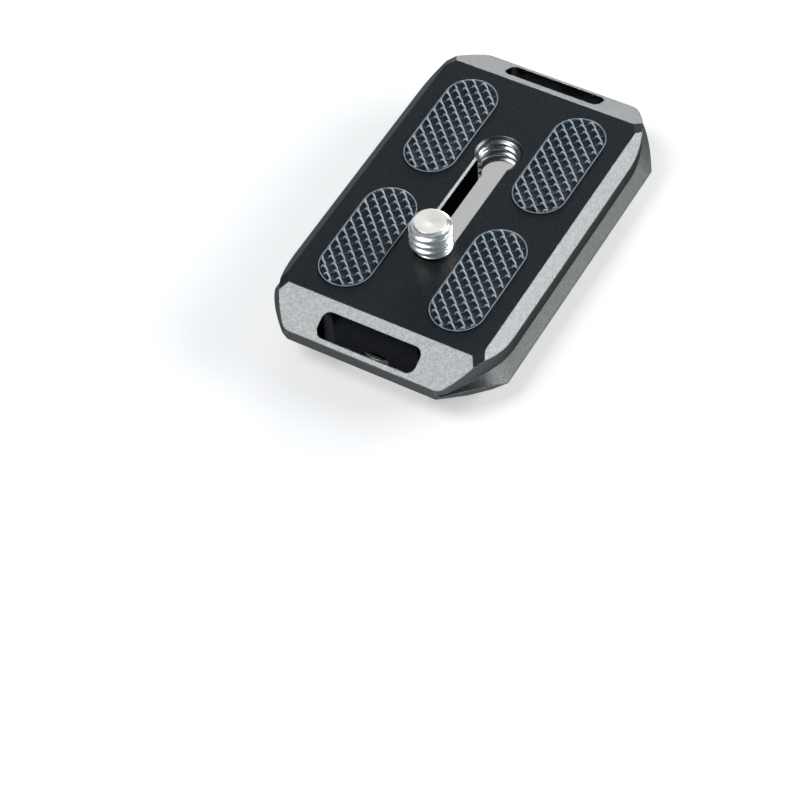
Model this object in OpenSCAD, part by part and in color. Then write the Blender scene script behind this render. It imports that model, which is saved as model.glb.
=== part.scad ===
/* [Plate] */
// Length of the plate, along the rails of the clamp
plate_length = 61; // [56:0.5:90]
// Width across the outer edges of the two dovetails
dovetail_width = 38; // [36:0.5:46]
// Height of the plate from the flat rim underneath to the top face
plate_height = 8.6; // [8:0.1:12]
// Width and drop of the 45 degree chamfer along each long top edge
side_chamfer = 1.75; // [0.5:0.05:2.5]
// Depth below the top face at which each dovetail starts to flare out
neck_depth = 4.25; // [3.5:0.05:4.5]
// How far each dovetail flares out from the neck
flare = 1.35; // [0.8:0.05:2]
// Drop over which it flares out
flare_drop = 1.7; // [0.8:0.05:2]
// Height of the narrow upright edge below the flare
flare_land = 0.25; // [0.1:0.05:0.5]
// Length of the slope at each end of the top face
end_slope_length = 5.8; // [3:0.1:7]
// Drop of that slope
end_slope_drop = 3; // [1.5:0.1:4]
// Height of the upright end face below the slope
end_face_height = 1.9; // [1:0.1:2.5]
// Length of the slope at each end of the underside
end_undercut = 5.3; // [3:0.1:6]

/* [Plan corners] */
// Radius of the long curve that leads from each side into a corner
shoulder_radius = 17.7; // [12:0.1:24]
// Angle that the long curve turns through
shoulder_turn = 42; // [30:1:48]
// Radius of the tight curve that leads from the long one to the end
nose_radius = 2; // [1:0.1:3]
// Radius of the curve that the flare takes round each corner
flare_corner_radius = 12; // [9:0.5:14]
// Distance from each end of the plate at which that curve starts
flare_corner_start = 9.5; // [7:0.1:11]
// Legs of the 45 degree cut across each corner of the dovetail, at the foot of the flare
dovetail_corner_cut = 7.9; // [5:0.1:9]
// Angle at which each of those cuts leans out towards its top
corner_lean = 31; // [10:1:40]
// Distance from each side edge of the top face to the middle of its small corner facet
corner_facet_side = 0.58; // [0.3:0.01:2]
// Distance from each end edge of the top face to the middle of its small corner facet
corner_facet_end = 0.8; // [0.3:0.01:2]

/* [Underside] */
// Thickness of the web between the top face and the recess
web_thickness = 4.8; // [4:0.1:5.5]
// Width of the recess
recess_width = 26; // [22:0.5:28]
// Distance from each end of the plate to the end wall of the recess
recess_inset = 7.1; // [6.5:0.1:9]
// Radius of the recess corners
recess_radius = 3.5; // [1:0.1:5]
// Radius of the round boss about each stop screw
boss_radius = 4.2; // [4:0.1:5]
// Radius of the fillet between each boss and the recess wall
boss_fillet = 1.6; // [0.8:0.1:2.2]

/* [Slots] */
// Distance from the middle of the plate to the camera screw at its stop
screw_offset = 9.7; // [7:0.1:12]
// Distance from the middle of the plate to the threaded hole
hole_offset = 10.5; // [8:0.1:12]
// Width of the camera slot
slot_width = 4.9; // [4.6:0.1:5.4]
// Width and drop of the 45 degree chamfer round the slot and the hole
slot_chamfer = 0.35; // [0.15:0.05:0.6]
// Length of each strap slot
strap_slot_length = 15.8; // [10:0.1:18]
// Width of each strap slot
strap_slot_width = 3.5; // [2.5:0.1:3.6]
// Radius of the strap slot corners
strap_slot_radius = 1.2; // [0.5:0.1:1.7]
// Bar left between each strap slot and the end face
strap_bar = 0.75; // [0.5:0.05:2]

/* [Grip pads] */
// Length of each pad
pad_length = 20.2; // [14:0.1:22]
// Width of each pad
pad_width = 8.3; // [6:0.1:9]
// Distance between the centre lines of the left and right pads
pad_spacing_x = 18; // [16:0.1:20]
// Distance between the middles of the near and far pads
pad_spacing_y = 24.6; // [23:0.1:27]
// Depth of the pocket that each pad is glued into
pad_pocket_depth = 1; // [0.5:0.1:1.5]
// How far the ribs of a pad stand above the top face
pad_rise = 0.3; // [0.1:0.05:0.6]
// Distance between neighbouring ribs of the diamond grid on a pad
pad_grid_pitch = 1.44; // [1:0.02:2]
// Width of each rib, and of the rim round the grid
pad_rib_width = 0.34; // [0.2:0.02:0.5]
// Height of the ribs over the floor of their cells
pad_rib_height = 0.3; // [0.1:0.05:0.6]

/* [Camera screw] */
// Major diameter of the camera thread
thread_diameter = 6.35; // [6.35]
// Height of the thread above the top face
thread_height = 5.3; // [4:0.1:6.5]
// Width of the bevel round the tip
tip_bevel = 0.85; // [0.4:0.05:1.2]
// Diameter of the screw head
head_diameter = 11.6; // [10:0.1:13]
// Thickness of the screw head
head_thickness = 2; // [1.6:0.1:2.6]
// Width of the coin slot across the head
coin_slot_width = 1.6; // [1:0.1:2]
// Depth of the coin slot
coin_slot_depth = 0.9; // [0.5:0.1:1.2]
// Size of the hexagon socket in the head, across its flats
head_socket = 4; // [3:0.1:4]
// Depth of that hexagon socket
head_socket_depth = 1.5; // [1:0.1:1.5]

/* [Stop screws] */
// Distance from each end of the plate to its stop screw
stop_inset = 7; // [6.5:0.1:9]
// Diameter of the stop screw thread
stop_thread = 3; // [2.5:0.1:3]
// Length of the stop screw below its head
stop_shank = 4.5; // [3:0.1:5]
// Diameter of the stop screw head
stop_head = 5.5; // [5:0.1:5.6]
// Height of the stop screw head
stop_head_height = 3; // [2.5:0.1:3.4]
// How far the head stands out below the rim
stop_proud = 1.2; // [0.8:0.1:1.6]
// Size of the hexagon socket, across its flats
stop_socket = 2.5; // [2:0.1:2.5]
// Depth of that socket
stop_socket_depth = 1.3; // [1:0.1:1.6]
// Radius of the rounded edge of the head
stop_head_round = 0.35; // [0.1:0.05:0.6]

/* [Clearances] */
// Gap between the camera screw and the plate, on every side
screw_gap = 0.1; // [0.05:0.01:0.2]
// Gap between each pad and the wall of its pocket
pad_gap = 0.1; // [0.05:0.01:0.2]
// Gap between a stop screw's head and the wall of its pocket
stop_head_gap = 0.35; // [0.2:0.05:0.5]
// Gap between a stop screw's thread and its hole
stop_thread_gap = 0.04; // [0.02:0.01:0.1]
// Gap between the camera thread and the hole that it is fed through
hole_gap = 0.05; // [0.02:0.01:0.2]

/* [Hidden] */
$fn = 96;

// Overshoot of a cut past the surface that it opens
over = 1;
// Largest turn between two points of a rounded stretch of an outline
arc_step = 5;

half_length = plate_length / 2;
half_dovetail = dovetail_width / 2;
recess_length = plate_length - 2 * recess_inset;
stop_offset = half_length - stop_inset;
half_neck = half_dovetail - flare;
rim_z = stop_proud;
top_z = rim_z + plate_height;
crease_z = top_z - neck_depth;
flare_z = crease_z - flare_drop;
flare_top_z = crease_z + flare_drop;
bevel_z = flare_z - flare_land;
side_bevel = bevel_z - rim_z;
ceiling_z = top_z - web_thickness;
half_top_width = half_neck - side_chamfer;
half_top_length = half_length - end_slope_length;
strap_slot_y = half_length - strap_bar - strap_slot_width / 2;
pad_floor_z = top_z - pad_pocket_depth;
hole_radius = thread_diameter / 2 + hole_gap;
neck_radius = slot_width / 2 - screw_gap;
thread_base_z = top_z + screw_gap;
thread_top_z = top_z + thread_height;
head_top_z = ceiling_z - screw_gap;
head_face_z = head_top_z - head_thickness;
stop_seat_z = stop_head_height;
// Blind end of a stop screw's hole, past the end of the screw
stop_hole_extra = 0.6;
// Run of the small corner facet towards the plate's middle, and its slope
facet_turn = 33;
facet_tilt = 26;

// Points of an arc about a centre, from one angle to another
function arc(cx, cy, r, from, to) =
    let (steps = ceil(abs(to - from) / arc_step))
    [for (i = [0:steps]) let (a = from + (to - from) * i / steps) [cx + r * cos(a), cy + r * sin(a)]];

// A list of points without its first
function rest_of(points) = [for (i = [1:len(points) - 1]) points[i]];

// A closed outline from the points of its right near corner, taken from side to end
function four_corners(q) = concat(
    q,
    [for (i = [len(q) - 1:-1:0]) [-q[i][0], q[i][1]]],
    [for (p = q) [-p[0], -p[1]]],
    [for (i = [len(q) - 1:-1:0]) [q[i][0], -q[i][1]]]);

// Outline of the upper block: a long curve and then a tight one at each corner
function neck_outline() =
    let (step = shoulder_radius - nose_radius,
         cy = -half_length + nose_radius + step * sin(shoulder_turn),
         cx = half_neck - shoulder_radius)
    four_corners(concat(
        arc(cx, cy, shoulder_radius, 0, -shoulder_turn),
        rest_of(arc(cx + step * cos(shoulder_turn), -half_length + nose_radius,
                    nose_radius, -shoulder_turn, -90))));

// A profile of the right half, completed by its mirror image
function both_sides(q) = concat(q, [for (i = [len(q) - 1:-1:0]) [-q[i][0], q[i][1]]]);

// Section across the upper block: chamfered along the top edges
module upper_section() {
    wide = half_neck + over;
    rotate([90, 0, 0]) linear_extrude(plate_length + 2 * over, center = true)
        polygon(both_sides([[half_top_width, top_z],
                            [wide, top_z - (wide - half_top_width)],
                            [wide, crease_z - over]]));
}

// Section across the lower block: narrow upright edge and bevel
module lower_section() {
    rotate([90, 0, 0]) linear_extrude(plate_length + 2 * over, center = true)
        polygon(both_sides([[half_dovetail, flare_top_z],
                            [half_dovetail, bevel_z],
                            [half_dovetail - side_bevel, rim_z]]));
}

// Reach of the flare from the plate's middle plane, at a height
function flare_reach(z) = half_neck + (crease_z - z) * flare / flare_drop;

// The flare of one side: a plane along the side and a cone round each corner, filled in behind
module flare_side() {
    cx = half_neck - flare_corner_radius;
    cy = half_length - flare_corner_start;
    h = flare_top_z - rim_z;
    translate([cx, cy, rim_z]) rotate([90, 0, 0]) linear_extrude(2 * cy)
        polygon([[0, 0], [flare_reach(rim_z) - cx, 0], [flare_reach(flare_top_z) - cx, h], [0, h]]);
    for (y = [-cy, cy]) translate([cx, y, rim_z])
        cylinder(r1 = flare_reach(rim_z) - cx, r2 = flare_reach(flare_top_z) - cx, h = h);
    translate([-dovetail_width, -half_length - over, rim_z])
        cube([dovetail_width + cx, plate_length + 2 * over, h]);
}

// Section of the lower block along one diagonal: the cut corners, which lean out towards their tops
module diagonal_section(turn) {
    foot = (half_dovetail + half_length - dovetail_corner_cut) / sqrt(2);
    rotate([0, 0, turn]) rotate([90, 0, 0]) linear_extrude(2 * plate_length, center = true)
        polygon(both_sides([[foot + (flare_top_z - flare_z) * tan(corner_lean), flare_top_z],
                            [foot - (flare_z - rim_z) * tan(corner_lean), rim_z]]));
}

// Section along the plate: sloped down at both ends, sloped up underneath
module end_section() {
    end_low_z = top_z - end_slope_drop - end_face_height;
    rotate([90, 0, 90]) linear_extrude(dovetail_width + 4 * over, center = true)
        polygon(both_sides([[half_top_length, top_z],
                            [half_length, top_z - end_slope_drop],
                            [half_length, end_low_z],
                            [half_length - end_undercut, rim_z]]));
}

// Cutter for the small facet between a side chamfer and an end slope
module corner_facet() {
    size = 12;
    translate([half_top_width - corner_facet_side, -half_top_length + corner_facet_end, top_z])
        rotate([0, 0, -facet_turn]) rotate([0, facet_tilt, 0])
            translate([-size / 4, -size / 2, 0]) cube([size, size, size]);
}

// A shape and its three mirror images, one for each corner
module at_corners() {
    for (turn = [0, 180]) rotate([0, 0, turn]) {
        children();
        mirror([1, 0, 0]) children();
    }
}

// Rectangle with rounded corners
module rounded_rectangle(w, l, r) {
    square([w - 2 * r, l], center = true);
    square([w, l - 2 * r], center = true);
    for (x = [-1, 1], y = [-1, 1]) translate([x * (w / 2 - r), y * (l / 2 - r)]) circle(r);
}

// Round-ended slot along Y, between two centres
module long_slot(w, from, to) {
    translate([-w / 2, from]) square([w, to - from]);
    for (y = [from, to]) translate([0, y]) circle(w / 2);
}

// What stays standing at one end of the recess: the boss and its two fillets
module boss_outline() {
    wall = -recess_length / 2;
    cy = -stop_offset;
    fy = wall + boss_fillet;
    reach = boss_radius + boss_fillet;
    fx = sqrt(reach * reach - (fy - cy) * (fy - cy));
    a = asin((fy - cy) / reach);
    polygon(concat([[-fx, wall - over]],
                   arc(-fx, fy, boss_fillet, -90, -a),
                   rest_of(arc(0, cy, boss_radius, 180 - a, a)),
                   rest_of(arc(fx, fy, boss_fillet, 180 + a, 270)),
                   [[fx, wall - over]]));
}

module recess_outline() {
    difference() {
        rounded_rectangle(recess_width, recess_length, recess_radius);
        for (turn = [0, 180]) rotate(turn) boss_outline();
    }
}

// Slot for the camera screw, from its stop to the threaded hole, with a chamfer round its top edge
module camera_slot() {
    stop_y = -screw_offset - screw_gap;
    rise = slot_chamfer + over;
    edge_z = top_z - slot_chamfer;
    translate([0, 0, ceiling_z - over]) linear_extrude(web_thickness + 2 * over) {
        long_slot(slot_width, stop_y, hole_offset);
        translate([0, hole_offset]) circle(hole_radius);
    }
    translate([0, stop_y, edge_z]) cylinder(r1 = slot_width / 2, r2 = slot_width / 2 + rise, h = rise);
    translate([0, hole_offset, edge_z]) cylinder(r1 = hole_radius, r2 = hole_radius + rise, h = rise);
    translate([0, hole_offset, edge_z]) rotate([90, 0, 0]) linear_extrude(hole_offset - stop_y)
        polygon(both_sides([[slot_width / 2, 0], [slot_width / 2 + rise, rise]]));
}

// Pocket and threaded hole for a stop screw
module stop_screw_hole() {
    translate([0, 0, rim_z - over])
        cylinder(r = stop_head / 2 + stop_head_gap, h = stop_seat_z - rim_z + over);
    translate([0, 0, rim_z])
        cylinder(r = stop_thread / 2 + stop_thread_gap, h = stop_seat_z - rim_z + stop_shank + stop_hole_extra);
}

// Outline of a pad, larger all round by a gap
module pad_outline(gap) {
    w = pad_width + 2 * gap;
    long_slot(w, -(pad_length - pad_width) / 2, (pad_length - pad_width) / 2);
}

module plate_body() {
    color([0.16, 0.18, 0.21])
    difference() {
        intersection() {
            union() {
                intersection() {
                    translate([0, 0, crease_z]) linear_extrude(top_z - crease_z) polygon(neck_outline());
                    upper_section();
                }
                intersection() {
                    lower_section();
                    flare_side();
                    mirror([1, 0, 0]) flare_side();
                    diagonal_section(45);
                    diagonal_section(-45);
                }
            }
            end_section();
        }
        at_corners() corner_facet();
        translate([0, 0, rim_z - over]) linear_extrude(ceiling_z - rim_z + over) recess_outline();
        camera_slot();
        for (y = [-1, 1]) {
            translate([0, y * stop_offset, 0]) stop_screw_hole();
            translate([0, y * strap_slot_y, 0]) linear_extrude(top_z + over)
                rounded_rectangle(strap_slot_length, strap_slot_width, strap_slot_radius);
            for (x = [-1, 1])
                translate([x * pad_spacing_x / 2, y * pad_spacing_y / 2, pad_floor_z])
                    linear_extrude(pad_pocket_depth + over) pad_outline(pad_gap);
        }
    }
}

// Ribs of a pad that run at 45 degrees to the plate, with one of them so many pitches off its middle
module pad_ribs(turn, shift) {
    reach = floor(pad_length / 2 / pad_grid_pitch);
    for (i = [-reach:reach]) rotate([0, 0, turn]) translate([0, (i + shift) * pad_grid_pitch])
        square([2 * pad_length, pad_rib_width], center = true);
}

// One grip pad, on the side and at the end given by the signs: a base with a rim and a diamond grid
module grip_pad(side, end) {
    thickness = pad_pocket_depth + pad_rise;
    color([0.16, 0.2, 0.23])
    translate([side * pad_spacing_x / 2, end * pad_spacing_y / 2, pad_floor_z]) {
        linear_extrude(thickness - pad_rib_height) pad_outline(0);
        linear_extrude(thickness) {
            difference() {
                pad_outline(0);
                pad_outline(-pad_rib_width);
            }
            intersection() {
                pad_outline(0);
                union() {
                    pad_ribs(45, 0.5);
                    pad_ribs(-45, 0);
                }
            }
        }
    }
}

module camera_screw() {
    r = thread_diameter / 2;
    head_r = head_diameter / 2;
    color([0.86, 0.86, 0.84])
    translate([0, -screw_offset, 0])
    difference() {
        union() {
            translate([0, 0, head_face_z]) cylinder(r = head_r, h = head_thickness);
            translate([0, 0, head_top_z]) cylinder(r = neck_radius, h = thread_base_z - head_top_z);
            translate([0, 0, thread_base_z]) cylinder(r = r, h = thread_height - screw_gap - tip_bevel);
            translate([0, 0, thread_top_z - tip_bevel]) cylinder(r1 = r, r2 = r - tip_bevel, h = tip_bevel);
        }
        translate([-head_r - over, -coin_slot_width / 2, head_face_z - over])
            cube([head_diameter + 2 * over, coin_slot_width, coin_slot_depth + over]);
        translate([0, 0, head_face_z - over])
            cylinder(r = head_socket / 2 / cos(30), h = head_socket_depth + over, $fn = 6);
    }
}

// One stop screw, head down, with a rounded edge on its head
module stop_screw(end) {
    r = stop_head / 2;
    color([0.83, 0.83, 0.82])
    translate([0, end * stop_offset, 0])
    difference() {
        union() {
            rotate_extrude() {
                translate([0, stop_head_round]) square([r, stop_head_height - stop_head_round]);
                square([r - stop_head_round, stop_head_height]);
                translate([r - stop_head_round, stop_head_round])
                    intersection() {
                        circle(stop_head_round);
                        translate([0, -stop_head_round]) square(stop_head_round);
                    }
            }
            translate([0, 0, stop_seat_z]) cylinder(r = stop_thread / 2, h = stop_shank);
        }
        translate([0, 0, -over])
            cylinder(r = stop_socket / 2 / cos(30), h = stop_socket_depth + over, $fn = 6);
    }
}

plate_body();
grip_pad(-1, -1);  // pad_near_left
grip_pad(1, -1);  // pad_near_right
grip_pad(-1, 1);  // pad_far_left
grip_pad(1, 1);  // pad_far_right
camera_screw();
stop_screw(-1);  // stop_screw_near
stop_screw(1);  // stop_screw_far
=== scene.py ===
import math

import bmesh
import bpy
from mathutils import Matrix, Vector


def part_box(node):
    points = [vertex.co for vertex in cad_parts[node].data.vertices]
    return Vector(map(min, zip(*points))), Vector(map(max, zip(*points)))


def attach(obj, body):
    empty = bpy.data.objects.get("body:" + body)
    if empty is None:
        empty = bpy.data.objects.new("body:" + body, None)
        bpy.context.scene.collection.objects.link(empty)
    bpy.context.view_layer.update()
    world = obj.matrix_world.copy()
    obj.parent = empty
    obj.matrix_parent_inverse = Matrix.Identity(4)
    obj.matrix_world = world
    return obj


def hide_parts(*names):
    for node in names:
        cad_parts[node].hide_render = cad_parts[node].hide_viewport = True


MM = 0.001

# ---------------------------------------------------------------- frame and camera
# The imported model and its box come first. The camera is the photograph's own, worked back from the
# corners, slot and pads of the plate: a long lens, high on the right and turned a little about its axis.
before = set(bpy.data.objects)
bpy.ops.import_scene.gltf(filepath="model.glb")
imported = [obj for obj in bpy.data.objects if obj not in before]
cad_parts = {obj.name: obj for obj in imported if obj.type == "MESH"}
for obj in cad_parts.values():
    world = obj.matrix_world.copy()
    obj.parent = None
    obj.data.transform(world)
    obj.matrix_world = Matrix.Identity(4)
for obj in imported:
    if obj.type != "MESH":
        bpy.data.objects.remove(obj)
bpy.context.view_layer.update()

LENS_SENSOR = 36.0
LENS_LENGTH = 121.3
CAMERA_PLACE = Vector((134.66, -225.95, 297.51)) * MM
CAMERA_RIGHT = Vector((0.86855, 0.49289, -0.05174))
CAMERA_AHEAD = Vector((-0.34069, 0.51798, -0.78462))

lens = bpy.data.cameras.new("photo_camera")
lens.sensor_width = LENS_SENSOR
lens.lens = LENS_LENGTH
lens.clip_start = 0.01
lens.clip_end = 20
camera = bpy.data.objects.new("photo_camera", lens)
bpy.context.scene.collection.objects.link(camera)
camera_up = CAMERA_RIGHT.cross(CAMERA_AHEAD).normalized()
turn = Matrix((CAMERA_RIGHT.normalized(), camera_up, -CAMERA_AHEAD.normalized())).transposed()
camera.matrix_world = Matrix.Translation(CAMERA_PLACE) @ turn.to_4x4()
bpy.context.scene.camera = camera

# ---------------------------------------------------------------- plate body
# One block of aluminium, milled all over, blasted with fine beads and anodised a dark slate colour.
# Its edges are broken by a hair and carry a pale painted highlight, and the blasting leaves tiny pits that
# sparkle.
ANODISED_TONE = (0.1, 0.103, 0.104, 1)
GRAZING_TONE = (0.4, 0.4, 0.4, 1)
EDGE_HIGHLIGHT_TONE = (0.5, 0.51, 0.53, 1)
EDGE_BREAK = 0.2 * MM
EDGE_HIGHLIGHT_RADIUS = 0.12 * MM
SMOOTH_ANGLE = math.radians(12)
MERGE_GAP = 0.0005 * MM


def add_object(name, mesh):
    """A new object at the origin for a mesh whose place is in its points."""
    piece = bpy.data.objects.new(name, mesh)
    bpy.context.scene.collection.objects.link(piece)
    return piece


def smooth_by_angle(mesh, angle):
    """Shades a mesh smooth, with its sharp edges kept."""
    shape = bmesh.new()
    shape.from_mesh(mesh)
    for face in shape.faces:
        face.smooth = True
    for edge in shape.edges:
        edge.smooth = len(edge.link_faces) == 2 and edge.calc_face_angle(0) < angle
    shape.to_mesh(mesh)
    shape.free()


def merged_shape(node):
    """A CAD node's loose triangles, joined into one closed skin, to be worked on."""
    shape = bmesh.new()
    shape.from_mesh(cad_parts[node].data)
    bmesh.ops.remove_doubles(shape, verts=shape.verts, dist=MERGE_GAP)
    bmesh.ops.dissolve_degenerate(shape, edges=shape.edges, dist=MERGE_GAP)
    return shape


def mesh_of(shape, name):
    """The finished mesh of a shape that was worked on."""
    mesh = bpy.data.meshes.new(name)
    shape.to_mesh(mesh)
    shape.free()
    return mesh


class Wiring:
    """A node tree and short ways to add and join its nodes."""

    def __init__(self, tree):
        self.tree = tree

    def add(self, kind, **settings):
        node = self.tree.nodes.new(kind)
        for key, value in settings.items():
            if hasattr(node, key):
                setattr(node, key, value)
            else:
                node.inputs[key.replace("_", " ")].default_value = value
        return node

    def join(self, out, into):
        self.tree.links.new(out, into)

    def math(self, operation, *values):
        node = self.add("ShaderNodeMath", operation=operation)
        for socket, value in zip(node.inputs, values):
            if isinstance(value, (int, float)):
                socket.default_value = value
            else:
                self.join(value, socket)
        return node.outputs[0]


class Finish(Wiring):
    """A material, with its patterns on the object's own coordinates."""

    def __init__(self, name, metallic=0.0):
        self.material = bpy.data.materials.new(name)
        self.material.use_nodes = True
        super().__init__(self.material.node_tree)
        self.shader = next(n for n in self.tree.nodes if n.type == "BSDF_PRINCIPLED")
        self.shader.inputs["Metallic"].default_value = metallic
        self.place = self.add("ShaderNodeTexCoord").outputs["Object"]

    def noise(self, scale, detail=2.0, place=None):
        node = self.add("ShaderNodeTexNoise", Scale=scale, Detail=detail)
        self.join(place or self.place, node.inputs["Vector"])
        return node.outputs["Fac"]

    def ramp(self, fac, stops):
        """A colour ramp through (place, colour) stops."""
        node = self.add("ShaderNodeValToRGB")
        points = node.color_ramp.elements
        while len(points) < len(stops):
            points.new(0.5)
        for point, (where, colour) in zip(points, stops):
            point.position = where
            point.color = colour
        self.join(fac, node.inputs["Fac"])
        return node.outputs["Color"]

    def bump(self, height, depth, normal=None):
        node = self.add("ShaderNodeBump", Distance=depth)
        self.join(height, node.inputs["Height"])
        if normal is not None:
            self.join(normal, node.inputs["Normal"])
        return node.outputs["Normal"]

    def soft_edges(self, radius):
        node = self.add("ShaderNodeBevel", samples=6, Radius=radius)
        return node.outputs["Normal"]

    def into(self, socket, out):
        self.join(out, self.shader.inputs[socket])


def grey(value):
    return (value, value, value, 1)


def tinted(tone, share):
    return tuple(c * share for c in tone[:3]) + (1,)


anodised = Finish("anodised_slate", metallic=1.0)
anodised.shader.inputs["Specular Tint"].default_value = GRAZING_TONE
speckle = anodised.noise(3600, detail=3.0)
slate = anodised.ramp(speckle, [(0.36, tinted(ANODISED_TONE, 0.84)), (0.62, tinted(ANODISED_TONE, 1.12))])
broken = anodised.soft_edges(EDGE_BREAK)
edge_highlight_mask = anodised.add("ShaderNodeVectorMath", operation="DOT_PRODUCT")
anodised.join(anodised.soft_edges(EDGE_HIGHLIGHT_RADIUS), edge_highlight_mask.inputs[0])
anodised.join(anodised.add("ShaderNodeNewGeometry").outputs["True Normal"], edge_highlight_mask.inputs[1])
# The pale line along the edges is painted highlight: a lighter base colour where the rounded-edge normal leaves
# the flat face's normal.
pale_edge_highlight = anodised.add("ShaderNodeMix", data_type="RGBA")
anodised.join(anodised.ramp(edge_highlight_mask.outputs["Value"], [(0.9, grey(0.75)), (0.985, grey(0.0))]), pale_edge_highlight.inputs[0])
anodised.join(slate, pale_edge_highlight.inputs[6])
pale_edge_highlight.inputs[7].default_value = EDGE_HIGHLIGHT_TONE
anodised.into("Base Color", pale_edge_highlight.outputs[2])
anodised.into("Roughness", anodised.ramp(anodised.noise(1500, detail=2.0), [(0.3, grey(0.32)), (0.7, grey(0.36))]))
anodised.into("Normal", anodised.bump(speckle, 0.014 * MM, normal=broken))

# The walls of the slots are a little smoother, and their colour is painted near black as painted shade for these
# deep, narrow recesses.
SLOT_WALL_SHADE_TONE = (0.032, 0.034, 0.038, 1)
STRAP_SLOT_EDGE = 26.1 * MM
STRAP_BAR_EDGE = 29.9 * MM
STRAP_SLOT_END = 8.0 * MM
CAMERA_SLOT_EDGE = 3.4 * MM
CAMERA_SLOT_END = 14.0 * MM
WEB_BOTTOM = 4.9 * MM

slot_wall_shade = Finish("smooth_slot_wall", metallic=1.0)
slot_wall_shade.shader.inputs["Specular Tint"].default_value = tinted(GRAZING_TONE, 0.5)
tool_marks = slot_wall_shade.noise(900, detail=2.0)
slot_wall_shade.into("Base Color", slot_wall_shade.ramp(tool_marks, [(0.3, tinted(SLOT_WALL_SHADE_TONE, 0.85)), (0.7, SLOT_WALL_SHADE_TONE)]))
slot_wall_shade.into("Roughness", slot_wall_shade.ramp(tool_marks, [(0.3, grey(0.26)), (0.7, grey(0.32))]))
slot_wall_shade.into("Normal", slot_wall_shade.bump(tool_marks, 0.004 * MM))

plate_mesh = mesh_of(merged_shape("plate_body"), "plate")
smooth_by_angle(plate_mesh, SMOOTH_ANGLE)
plate_mesh.materials.append(anodised.material)
plate_mesh.materials.append(slot_wall_shade.material)
# Upright faces inside the slots take the painted shade material.
for face in plate_mesh.polygons:
    x, y = abs(face.center.x), abs(face.center.y)
    in_strap_slot = x < STRAP_SLOT_END and y > STRAP_SLOT_EDGE
    in_camera_slot = x < CAMERA_SLOT_EDGE and y < CAMERA_SLOT_END and face.center.z > WEB_BOTTOM
    if abs(face.normal.z) < 0.05 and (in_strap_slot and y < STRAP_BAR_EDGE or in_camera_slot):
        face.material_index = 1
plate = add_object("plate", plate_mesh)
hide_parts("plate_body")
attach(plate, "plate")

# ---------------------------------------------------------------- threads
# The camera screw has a rolled 1/4 inch thread with rounded crests, and the hole that it was fed
# through has the same thread tapped into its wall. A plain turned wall is made first, and a geometry
# recipe then cuts the thread into it, with a run-out at each end.
THREAD_PITCH = 1.27 * MM
THREAD_DEPTH = 0.56 * MM
RINGS_PER_PITCH = 18
POINTS_ROUND = 96


class Recipe(Wiring):
    """A geometry tree with named sizes, used on one mesh and then turned into a plain mesh."""

    def __init__(self, name, sizes):
        super().__init__(bpy.data.node_groups.new(name, "GeometryNodeTree"))
        self.sockets = {}
        ports = self.tree.interface
        ports.new_socket("Geometry", in_out="INPUT", socket_type="NodeSocketGeometry")
        for size in sizes:
            self.sockets[size] = ports.new_socket(size, in_out="INPUT", socket_type="NodeSocketFloat").identifier
        finish = ports.new_socket("Finish", in_out="INPUT", socket_type="NodeSocketMaterial")
        self.sockets["Finish"] = finish.identifier
        ports.new_socket("Geometry", in_out="OUTPUT", socket_type="NodeSocketGeometry")
        self.start = self.add("NodeGroupInput")

    def size(self, name):
        return self.start.outputs[name]

    def vector(self, x=0.0, y=0.0, z=0.0):
        node = self.add("ShaderNodeCombineXYZ")
        for socket, value in zip(node.inputs, (x, y, z)):
            if isinstance(value, (int, float)):
                socket.default_value = value
            else:
                self.join(value, socket)
        return node.outputs[0]

    def end(self, geometry):
        real = self.add("GeometryNodeRealizeInstances")
        self.join(geometry, real.inputs[0])
        coat = self.add("GeometryNodeSetMaterial")
        self.join(real.outputs[0], coat.inputs["Geometry"])
        self.join(self.size("Finish"), coat.inputs["Material"])
        self.join(coat.outputs[0], self.add("NodeGroupOutput").inputs[0])

    def use(self, name, mesh, **sizes):
        """The plain mesh that the recipe makes from a mesh."""
        blank = add_object(name + "_blank", mesh)
        step = blank.modifiers.new("recipe", "NODES")
        step.node_group = self.tree
        for size, value in sizes.items():
            step[self.sockets[size]] = value
        made = blank.evaluated_get(bpy.context.evaluated_depsgraph_get())
        result = bpy.data.meshes.new_from_object(made)
        result.name = name
        blank.modifiers.remove(step)
        bpy.data.objects.remove(blank)
        return result


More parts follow.
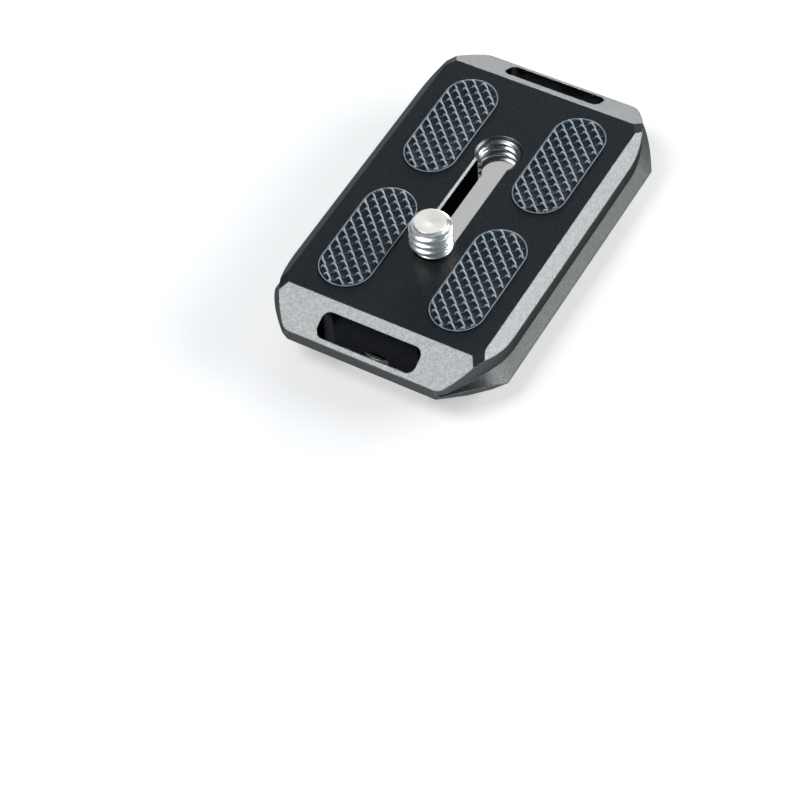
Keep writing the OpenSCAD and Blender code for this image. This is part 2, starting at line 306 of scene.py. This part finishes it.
def thread_recipe():
    """Draws the marked points of a round wall in along a right-handed helix."""
    recipe = Recipe("cut_thread", ["Pitch", "Depth", "Low", "High", "Run", "Turn"])
    place = recipe.add("GeometryNodeInputPosition").outputs[0]
    parts = recipe.add("ShaderNodeSeparateXYZ")
    recipe.join(place, parts.inputs[0])
    x, y, z = parts.outputs
    turns = recipe.math("DIVIDE", recipe.math("ARCTAN2", y, x), 2 * math.pi)
    phase = recipe.math("SUBTRACT", recipe.math("DIVIDE", z, recipe.size("Pitch")), turns)
    phase = recipe.math("FRACT", recipe.math("ADD", phase, recipe.size("Turn")))
    fold = recipe.math("ABSOLUTE", recipe.math("SUBTRACT", recipe.math("MULTIPLY", phase, 2.0), 1.0))
    groove = recipe.add("ShaderNodeMapRange", interpolation_type="SMOOTHSTEP")
    recipe.join(fold, groove.inputs["Value"])
    groove.inputs["From Min"].default_value = 0.1
    groove.inputs["From Max"].default_value = 0.9
    cut = recipe.math("MULTIPLY", groove.outputs[0], recipe.size("Depth"))
    for near, far in ((recipe.size("Low"), z), (z, recipe.size("High"))):
        fade = recipe.math("DIVIDE", recipe.math("SUBTRACT", far, near), recipe.size("Run"))
        cut = recipe.math("MULTIPLY", cut, recipe.math("MINIMUM", recipe.math("MAXIMUM", fade, 0.0), 1.0))
    marked = recipe.add("GeometryNodeInputNamedAttribute", data_type="FLOAT")
    marked.inputs["Name"].default_value = "threaded"
    cut = recipe.math("MULTIPLY", cut, marked.outputs["Attribute"])
    outward = recipe.add("ShaderNodeVectorMath", operation="NORMALIZE")
    recipe.join(recipe.vector(x, y), outward.inputs[0])
    shift = recipe.add("ShaderNodeVectorMath", operation="SCALE")
    recipe.join(outward.outputs[0], shift.inputs[0])
    recipe.join(recipe.math("MULTIPLY", cut, -1.0), shift.inputs["Scale"])
    moved = recipe.add("GeometryNodeSetPosition")
    recipe.join(recipe.start.outputs["Geometry"], moved.inputs["Geometry"])
    recipe.join(shift.outputs[0], moved.inputs["Offset"])
    recipe.end(moved.outputs[0])
    return recipe


def wall_rings(radius, low, high):
    """Rings of a round wall, close enough for a thread: (radius, height, threaded)."""
    steps = round((high - low) / THREAD_PITCH * RINGS_PER_PITCH)
    return [(radius, low + (high - low) * i / steps, 1.0) for i in range(steps + 1)]


def turned(name, rings, hollow=False, start=0.0, sweep=2 * math.pi):
    """A turned shape about Z from its rings of (radius, height, threaded). Its ends are flat discs, or
    for a hollow one the last ring leads back to the first."""
    whole = sweep > 2 * math.pi - 1e-6
    count = POINTS_ROUND if whole else POINTS_ROUND + 1
    shape = bmesh.new()
    mark = shape.verts.layers.float.new("threaded")
    rows = []
    for radius, height, threaded in rings:
        row = []
        for i in range(count):
            a = start + sweep * i / POINTS_ROUND
            vert = shape.verts.new((radius * math.cos(a), radius * math.sin(a), height))
            vert[mark] = threaded
            row.append(vert)
        rows.append(row)
    around = range(count) if whole else range(count - 1)
    pairs = list(zip(rows, rows[1:]))
    if hollow:
        pairs.append((rows[-1], rows[0]))
    else:
        shape.faces.new(rows[0][::-1])
        shape.faces.new(rows[-1])
    if not whole:
        shape.faces.new([row[0] for row in rows])
        shape.faces.new([row[-1] for row in rows][::-1])
    for low, high in pairs:
        for i in around:
            j = (i + 1) % count
            shape.faces.new((low[i], low[j], high[j], high[i]))
    bmesh.ops.recalc_face_normals(shape, faces=shape.faces)
    return mesh_of(shape, name)


cut_thread = thread_recipe()

# The hole's thread: a sleeve that is open where the slot comes in, seated in the plate's own wall.
# Its colour is painted far lighter than the dark coat, as painted highlight on the thread, so it shines more than
# the rest.
HOLE_RADIUS = 3.225 * MM
HOLE_PLACE = Vector((0, 10.5 * MM, 0))
HOLE_LOW = 5.06 * MM
HOLE_HIGH = 9.4 * MM
SLEEVE_SEAT = 0.08 * MM
SLEEVE_BACK = 0.35 * MM
SLOT_HALF_ANGLE = math.radians(50.5)
THREAD_HIGHLIGHT_TONE = (0.34, 0.34, 0.34, 1)

# Painted highlight: a light base colour for the thread's lit crests.
thread_highlight = Finish("rubbed_thread", metallic=1.0)
thread_marks = thread_highlight.noise(2400, detail=2.0)
thread_highlight.into("Base Color", thread_highlight.ramp(thread_marks, [(0.35, tinted(THREAD_HIGHLIGHT_TONE, 0.7)), (0.65, THREAD_HIGHLIGHT_TONE)]))
thread_highlight.into("Roughness", thread_highlight.ramp(thread_marks, [(0.3, grey(0.24)), (0.7, grey(0.34))]))
thread_highlight.into("Normal", thread_highlight.bump(thread_marks, 0.004 * MM))

hole_wall = wall_rings(HOLE_RADIUS - 0.02 * MM, HOLE_LOW, HOLE_HIGH)
sleeve = [(HOLE_RADIUS + SLEEVE_SEAT, HOLE_HIGH, 0.0), (HOLE_RADIUS + SLEEVE_SEAT, HOLE_LOW, 0.0)] + hole_wall
hole_mesh = cut_thread.use("hole_thread",
                           turned("sleeve", sleeve, hollow=True, start=-math.pi / 2 + SLOT_HALF_ANGLE,
                                  sweep=2 * math.pi - 2 * SLOT_HALF_ANGLE),
                           Pitch=THREAD_PITCH, Depth=THREAD_DEPTH, Low=HOLE_LOW, High=HOLE_HIGH,
                           Run=0.25 * MM, Turn=0.1, Finish=thread_highlight.material)
hole_mesh.transform(Matrix.Translation(HOLE_PLACE))
smooth_by_angle(hole_mesh, math.radians(50))
hole_thread = add_object("hole_thread", hole_mesh)
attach(hole_thread, "plate")

# ---------------------------------------------------------------- camera screw
# A steel screw, turned and left bright: a flat head with a coin slot and a hexagon socket, a thin neck
# that slides in the plate's slot, and a threaded stub with a bevelled tip that shows the lathe's marks.
STEEL_TONE = (0.93, 0.92, 0.89, 1)
TIP_HIGHLIGHT_TONE = (0.92, 0.9, 0.81, 1)
SCREW_PLACE = Vector((0, -9.7 * MM, 0))
THREAD_RADIUS = 3.175 * MM
STUB_LOW = 9.9 * MM
STUB_HIGH = 15.1 * MM
TIP_BEVEL = 0.85 * MM
FOOT_BEVEL = 0.5 * MM
NECK_CUT = 9.7 * MM
CENTRE_MARK = 0.35 * MM
CENTRE_DEPTH = 0.12 * MM


def steel_finish(name, axis, tone, metallic, polish):
    """Turned steel, with the lathe's fine rings about an upright axis; polish is its mean roughness."""
    steel = Finish(name, metallic=metallic)
    centred = steel.add("ShaderNodeMapping")
    centred.inputs["Location"].default_value = (-axis.x, -axis.y, 0)
    steel.join(steel.place, centred.inputs["Vector"])
    rings = steel.add("ShaderNodeTexWave", wave_type="RINGS", rings_direction="Z", Scale=900.0, Distortion=1.5,
                      Detail=1.0, Detail_Scale=3.0)
    steel.join(centred.outputs[0], rings.inputs["Vector"])
    smears = steel.noise(420, detail=3.0)
    steel.into("Base Color", steel.ramp(smears, [(0.3, tinted(tone, 0.92)), (0.7, tone)]))
    steel.into("Roughness", steel.ramp(smears, [(0.3, grey(polish - 0.05)), (0.7, grey(polish + 0.05))]))
    steel.into("Normal", steel.bump(rings.outputs["Fac"], 0.003 * MM, normal=steel.soft_edges(0.1 * MM)))
    return steel.material


screw_steel = steel_finish("turned_steel", SCREW_PLACE, STEEL_TONE, 1.0, 0.29)
# The tip's flat face is painted cream, less metallic and rougher: a painted highlight of the warm light falling on
# it.
tip_highlight_steel = steel_finish("faced_tip", SCREW_PLACE, TIP_HIGHLIGHT_TONE, 0.35, 0.5)
stub_rings = [(THREAD_RADIUS - FOOT_BEVEL, STUB_LOW, 0.0)]
stub_rings += wall_rings(THREAD_RADIUS, STUB_LOW + FOOT_BEVEL, STUB_HIGH - TIP_BEVEL)
bevel_steps = 10
stub_rings += [(THREAD_RADIUS - TIP_BEVEL * i / bevel_steps, STUB_HIGH - TIP_BEVEL * (1 - i / bevel_steps),
                1.0 - i / bevel_steps) for i in range(1, bevel_steps + 1)]
stub_rings += [(CENTRE_MARK, STUB_HIGH, 0.0), (0.1 * CENTRE_MARK, STUB_HIGH - CENTRE_DEPTH, 0.0)]
stub_mesh = cut_thread.use("stub", turned("stub_wall", stub_rings), Pitch=THREAD_PITCH, Depth=THREAD_DEPTH,
                           Low=STUB_LOW, High=STUB_HIGH, Run=0.3 * MM, Turn=0.35, Finish=screw_steel)
stub_mesh.transform(Matrix.Translation(SCREW_PLACE))

screw_shape = merged_shape("camera_screw")
cut = bmesh.ops.bisect_plane(screw_shape, geom=screw_shape.verts[:] + screw_shape.edges[:] + screw_shape.faces[:],
                             dist=MERGE_GAP, plane_co=(0, 0, NECK_CUT), plane_no=(0, 0, 1), clear_outer=True)
rim = [e for e in cut["geom_cut"] if isinstance(e, bmesh.types.BMEdge)]
top = bmesh.ops.edgeloop_fill(screw_shape, edges=rim)["faces"]
raised = bmesh.ops.extrude_face_region(screw_shape, geom=top)["geom"]
bmesh.ops.translate(screw_shape, verts=[v for v in raised if isinstance(v, bmesh.types.BMVert)],
                    vec=(0, 0, STUB_LOW - NECK_CUT + 0.02 * MM))
bmesh.ops.delete(screw_shape, geom=top, context="FACES_ONLY")
bmesh.ops.recalc_face_normals(screw_shape, faces=screw_shape.faces)
screw_shape.from_mesh(stub_mesh)
screw_mesh = mesh_of(screw_shape, "screw")
smooth_by_angle(screw_mesh, math.radians(40))
screw_mesh.materials.append(screw_steel)
screw_mesh.materials.append(tip_highlight_steel)
# The flat end face takes the painted highlight material.
for face in screw_mesh.polygons:
    face.material_index = 1 if face.center.z > STUB_HIGH - CENTRE_DEPTH and abs(face.normal.z) > 0.8 else 0
screw = add_object("screw", screw_mesh)
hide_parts("camera_screw")
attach(screw, "screw")

# ---------------------------------------------------------------- stop screws
# Two M3 socket cap screws, heads down in round pockets under the plate, screwed into it from below.
# They are bought parts of plain bright steel, with the edge of the head turned round. The pocket's
# wall stays whole where the strap slot comes close to it.
POCKET_RADIUS = 3.1 * MM
POCKET_WALL = 0.2 * MM
POCKET_TOP = 3.05 * MM
RIM_LEVEL = 1.22 * MM

for end in ("near", "far"):
    node = "stop_screw_" + end
    low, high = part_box(node)
    middle = (Vector(low) + Vector(high)) / 2
    cap_mesh = mesh_of(merged_shape(node), "cap_screw_" + end)
    smooth_by_angle(cap_mesh, SMOOTH_ANGLE)
    cap_mesh.materials.append(steel_finish("cap_steel_" + end, middle, STEEL_TONE, 0.9, 0.3))
    cap_screw = add_object("cap_screw_" + end, cap_mesh)
    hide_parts(node)
    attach(cap_screw, "plate")

    wall = [(POCKET_RADIUS, RIM_LEVEL, 0.0), (POCKET_RADIUS + POCKET_WALL, RIM_LEVEL, 0.0),
            (POCKET_RADIUS + POCKET_WALL, POCKET_TOP, 0.0), (POCKET_RADIUS, POCKET_TOP, 0.0)]
    wall_mesh = turned("pocket_wall_" + end, wall, hollow=True)
    wall_mesh.transform(Matrix.Translation((middle.x, middle.y, 0)))
    smooth_by_angle(wall_mesh, SMOOTH_ANGLE)
    wall_mesh.materials.append(anodised.material)
    pocket_wall = add_object("pocket_wall_" + end, wall_mesh)
    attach(pocket_wall, "plate")

# ---------------------------------------------------------------- grip pads
# Four pads of moulded rubber, glued into shallow pockets. Each has a thin raised rim and a diamond grid
# of low ribs, with a small hooked ridge over every crossing. The crests are painted pale, partly as scuffing
# and partly as painted highlight, and the cells between them are painted dark as painted shade.
PAD_LENGTH = 20.2 * MM
PAD_WIDTH = 8.3 * MM
PAD_FOOT = 8.8 * MM
PAD_FLOOR = 9.8 * MM
PAD_CREST = 10.1 * MM
GRID_PITCH = 1.44 * MM
RIM_CREST = 10.0 * MM
RIM_WIDTH = 0.24 * MM
RIB_RADIUS = 0.13 * MM
HOOK_RADIUS = 0.165 * MM
CELL_SHADE_TONE = (0.009, 0.015, 0.021, 1)
RIB_TONE = (0.08, 0.104, 0.125, 1)
CREST_SCUFF_AND_HIGHLIGHT_TONE = (0.34, 0.4, 0.44, 1)
ROUND_END_STEPS = 40


def stadium(inset, height):
    """Points of a round-ended outline along Y, drawn in by an inset."""
    r, straight = PAD_WIDTH / 2 - inset, (PAD_LENGTH - PAD_WIDTH) / 2
    points = []
    for side, from_angle in ((1, 0.0), (-1, math.pi)):
        for i in range(ROUND_END_STEPS + 1):
            a = from_angle + math.pi * i / ROUND_END_STEPS
            points.append((r * math.cos(a), side * straight + r * math.sin(a), height))
    return points


def pad_blank():
    """The pad without its ribs: a flat base and a low rounded rim."""
    drop = RIM_CREST - PAD_FLOOR
    profile = [(0.06 * MM, PAD_FOOT), (0, PAD_FOOT + 0.06 * MM), (0, RIM_CREST - 0.5 * drop),
               (0.12 * RIM_WIDTH, RIM_CREST - 0.16 * drop), (0.35 * RIM_WIDTH, RIM_CREST),
               (0.55 * RIM_WIDTH, RIM_CREST - 0.05 * drop), (0.8 * RIM_WIDTH, RIM_CREST - 0.35 * drop),
               (RIM_WIDTH, RIM_CREST - 0.85 * drop), (1.3 * RIM_WIDTH, PAD_FLOOR)]
    shape = bmesh.new()
    rows = [[shape.verts.new(p) for p in stadium(inset, height)] for inset, height in profile]
    shape.faces.new(rows[0][::-1])
    shape.faces.new(rows[-1])
    count = len(rows[0])
    for low, high in zip(rows, rows[1:]):
        for i in range(count):
            j = (i + 1) % count
            shape.faces.new((low[i], low[j], high[j], high[i]))
    bmesh.ops.recalc_face_normals(shape, faces=shape.faces)
    return mesh_of(shape, "pad_blank")


def grid_recipe():
    """Adds ribs and hooks to a pad that lies about the Z axis. The grid is laid out square, turned by
    45 degrees and cut off where it passes the rim."""
    recipe = Recipe("diamond_grid", ["Pitch", "Straight", "Reach", "Floor", "Rise", "Rib", "Hook"])
    pitch, floor, rise = recipe.size("Pitch"), recipe.size("Floor"), recipe.size("Rise")
    half_count = 7

    def at(across=0.0, along=0.0, up=0.0):
        """A point given in pitches across and along the square grid, and in rises over the floor."""
        return recipe.vector(recipe.math("MULTIPLY", pitch, across), recipe.math("MULTIPLY", pitch, along),
                             recipe.math("MULTIPLY_ADD", rise, up, floor))

    def repeated(curve, across, along):
        """A curve at each point of a square grid, as real curves."""
        grid = recipe.add("GeometryNodeMeshGrid", Vertices_X=across, Vertices_Y=along)
        recipe.join(recipe.math("MULTIPLY", pitch, across - 1.0), grid.inputs["Size X"])
        recipe.join(recipe.math("MULTIPLY", pitch, along - 1.0), grid.inputs["Size Y"])
        copies = recipe.add("GeometryNodeInstanceOnPoints")
        recipe.join(grid.outputs["Mesh"], copies.inputs["Points"])
        recipe.join(curve, copies.inputs["Instance"])
        real = recipe.add("GeometryNodeRealizeInstances")
        recipe.join(copies.outputs[0], real.inputs[0])
        return real.outputs[0]

    def clipped(curves):
        """The curves turned by 45 degrees, without what lies past the rim."""
        turned_grid = recipe.add("GeometryNodeTransform", Rotation=(0, 0, math.radians(45)))
        recipe.join(curves, turned_grid.inputs["Geometry"])
        where = recipe.add("ShaderNodeSeparateXYZ")
        recipe.join(recipe.add("GeometryNodeInputPosition").outputs[0], where.inputs[0])
        x, y = where.outputs[0], recipe.math("ABSOLUTE", where.outputs[1])
        past = recipe.math("MAXIMUM", recipe.math("SUBTRACT", y, recipe.size("Straight")), 0.0)
        off = recipe.math("MULTIPLY_ADD", past, past, recipe.math("MULTIPLY", x, x))
        reach = recipe.math("MULTIPLY", recipe.size("Reach"), recipe.size("Reach"))
        trim = recipe.add("GeometryNodeDeleteGeometry", domain="POINT")
        recipe.join(turned_grid.outputs[0], trim.inputs["Geometry"])
        recipe.join(recipe.math("GREATER_THAN", off, reach), trim.inputs["Selection"])
        return trim.outputs[0]

    def swept(curves, radius, scale=None):
        """The curves with a round section and closed ends."""
        section = recipe.add("GeometryNodeCurvePrimitiveCircle", mode="RADIUS", Resolution=8)
        recipe.join(radius, section.inputs["Radius"])
        tube = recipe.add("GeometryNodeCurveToMesh", Fill_Caps=True)
        recipe.join(curves, tube.inputs["Curve"])
        recipe.join(section.outputs[0], tube.inputs["Profile Curve"])
        if scale is not None:
            recipe.join(scale, tube.inputs["Scale"])
        return tube.outputs[0]

    def ribs(across, along, start, end):
        """Straight low ribs, each from one point to another of the square grid."""
        line = recipe.add("GeometryNodeCurvePrimitiveLine")
        recipe.join(start, line.inputs["Start"])
        recipe.join(end, line.inputs["End"])
        dense = recipe.add("GeometryNodeResampleCurve", mode="COUNT", Count=200)
        recipe.join(line.outputs[0], dense.inputs["Curve"])
        plain = recipe.add("GeometryNodeResampleCurve", mode="COUNT", Count=2)
        recipe.join(clipped(repeated(dense.outputs[0], across, along)), plain.inputs["Curve"])
        return swept(plain.outputs[0], recipe.size("Rib"))

    hook = recipe.add("GeometryNodeCurvePrimitiveBezierSegment", Resolution=16)
    for socket, point in (("Start", at(-0.42, -0.05, 0.05)), ("Start Handle", at(-0.34, 0.34, 0.62)),
                          ("End Handle", at(0.08, 0.3, 0.62)), ("End", at(0.02, -0.95, 0.45))):
        recipe.join(point, hook.inputs[socket])
    steps = recipe.add("GeometryNodeResampleCurve", mode="COUNT", Count=10)
    recipe.join(hook.outputs[0], steps.inputs["Curve"])
    along_hook = recipe.add("GeometryNodeSplineParameter").outputs["Factor"]
    off_middle = recipe.math("SUBTRACT", along_hook, 0.45)
    taper = recipe.math("MULTIPLY_ADD", recipe.math("MULTIPLY", off_middle, off_middle), -1.0, 1.0)

    whole = recipe.add("GeometryNodeJoinGeometry")
    for part in (swept(clipped(repeated(steps.outputs[0], 2 * half_count + 1, 2 * half_count)),
                       recipe.size("Hook"), taper),
                 ribs(1, 2 * half_count, at(-half_count), at(half_count)),
                 ribs(2 * half_count + 1, 1, at(0, -half_count), at(0, half_count)),
                 recipe.start.outputs["Geometry"]):
        recipe.join(part, whole.inputs[0])
    recipe.end(whole.outputs[0])
    return recipe


rubber = Finish("scuffed_rubber")
rubber.shader.inputs["Specular IOR Level"].default_value = 0.4
height = rubber.add("ShaderNodeSeparateXYZ")
rubber.join(rubber.place, height.inputs[0])
scuffs = rubber.noise(2600, detail=3.0)
# Colour by height: painted shade in the cells, and on the crests a pale tone that is partly scuffing and partly
# painted highlight.
level = rubber.add("ShaderNodeMapRange")
rubber.join(rubber.math("MULTIPLY_ADD", scuffs, 0.09 * MM, height.outputs[2]), level.inputs["Value"])
level.inputs["From Min"].default_value = PAD_FLOOR + 0.04 * MM
level.inputs["From Max"].default_value = PAD_CREST + 0.04 * MM
rubber.into("Base Color", rubber.ramp(level.outputs[0], [(0.16, CELL_SHADE_TONE), (0.42, RIB_TONE), (0.85, CREST_SCUFF_AND_HIGHLIGHT_TONE)]))
rubber.into("Roughness", rubber.ramp(scuffs, [(0.3, grey(0.38)), (0.7, grey(0.5))]))
rubber.into("Normal", rubber.bump(scuffs, 0.01 * MM))

diamond_grid = grid_recipe()
pad_mesh = diamond_grid.use("pad", pad_blank(), Pitch=GRID_PITCH, Straight=(PAD_LENGTH - PAD_WIDTH) / 2,
                            Reach=PAD_WIDTH / 2 - 0.6 * RIM_WIDTH, Floor=PAD_FLOOR - 0.03 * MM,
                            Rise=PAD_CREST - PAD_FLOOR, Rib=RIB_RADIUS, Hook=HOOK_RADIUS, Finish=rubber.material)
smooth_by_angle(pad_mesh, math.radians(50))
for end in ("near", "far"):
    for side in ("left", "right"):
        node = "pad_{}_{}".format(end, side)
        low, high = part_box(node)
        seat = (Vector(low) + Vector(high)) / 2
        own_mesh = pad_mesh.copy()
        own_mesh.transform(Matrix.Translation((seat.x, seat.y, 0)))
        pad = add_object("rubber_{}_{}".format(end, side), own_mesh)
        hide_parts(node)
        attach(pad, "plate")

# ---------------------------------------------------------------- floor and lights
# A plain pale floor that keeps the plate's shadow, and soft boxes placed so that the sloped faces
# catch them and the top face doesn't.
FLOOR_TONE = (0.6, 0.6, 0.6, 1)
FLOOR_REACH = 3.0
FLOOR_LIFT = 0.45

floor_mesh = bpy.data.meshes.new("floor")
floor_mesh.from_pydata([(x * FLOOR_REACH, y * FLOOR_REACH, 0) for x, y in ((-1, -1), (1, -1), (1, 1), (-1, 1))],
                       [], [(0, 1, 2, 3)])
floor = add_object("floor", floor_mesh)
pale = Finish("pale_floor")
pale.shader.inputs["Roughness"].default_value = 0.9
pale.shader.inputs["Base Color"].default_value = FLOOR_TONE
pale.shader.inputs["Emission Color"].default_value = grey(1.0)
rays = pale.add("ShaderNodeLightPath")
seen = pale.math("MAXIMUM", rays.outputs["Is Camera Ray"], rays.outputs["Is Glossy Ray"])
seen = pale.math("MAXIMUM", seen, rays.outputs["Is Transmission Ray"])
pale.into("Emission Strength", pale.math("MULTIPLY", seen, FLOOR_LIFT))
floor.data.materials.append(pale.material)


def soft_box(name, azimuth, height, distance, width, tall, power):
    """A rectangular lamp in a direction seen from the plate, in degrees from +X towards +Y and up."""
    a, h = math.radians(azimuth), math.radians(height)
    way = Vector((math.cos(a) * math.cos(h), math.sin(a) * math.cos(h), math.sin(h)))
    lamp = bpy.data.lights.new(name, "AREA")
    lamp.shape = "RECTANGLE"
    lamp.size = width
    lamp.size_y = tall
    lamp.energy = power
    box = bpy.data.objects.new(name, lamp)
    bpy.context.scene.collection.objects.link(box)
    box.matrix_world = Matrix.Translation(way * distance) @ way.to_track_quat("Z", "Y").to_matrix().to_4x4()


soft_box("near_box", 228, 60, 0.9, 0.42, 0.42, 4.7)
soft_box("side_box", 35, 25, 0.9, 0.7, 0.32, 7.4)
soft_box("far_box", 109, 7, 1.1, 0.6, 0.26, 9.0)

world = bpy.data.worlds.new("studio")
bpy.context.scene.world = world
world.use_nodes = True
backdrop = next(n for n in world.node_tree.nodes if n.type == "BACKGROUND")
backdrop.inputs["Color"].default_value = (0.6, 0.8, 1.0, 1)
backdrop.inputs["Strength"].default_value = 0.17

bpy.context.scene.view_settings.view_transform = "Standard"
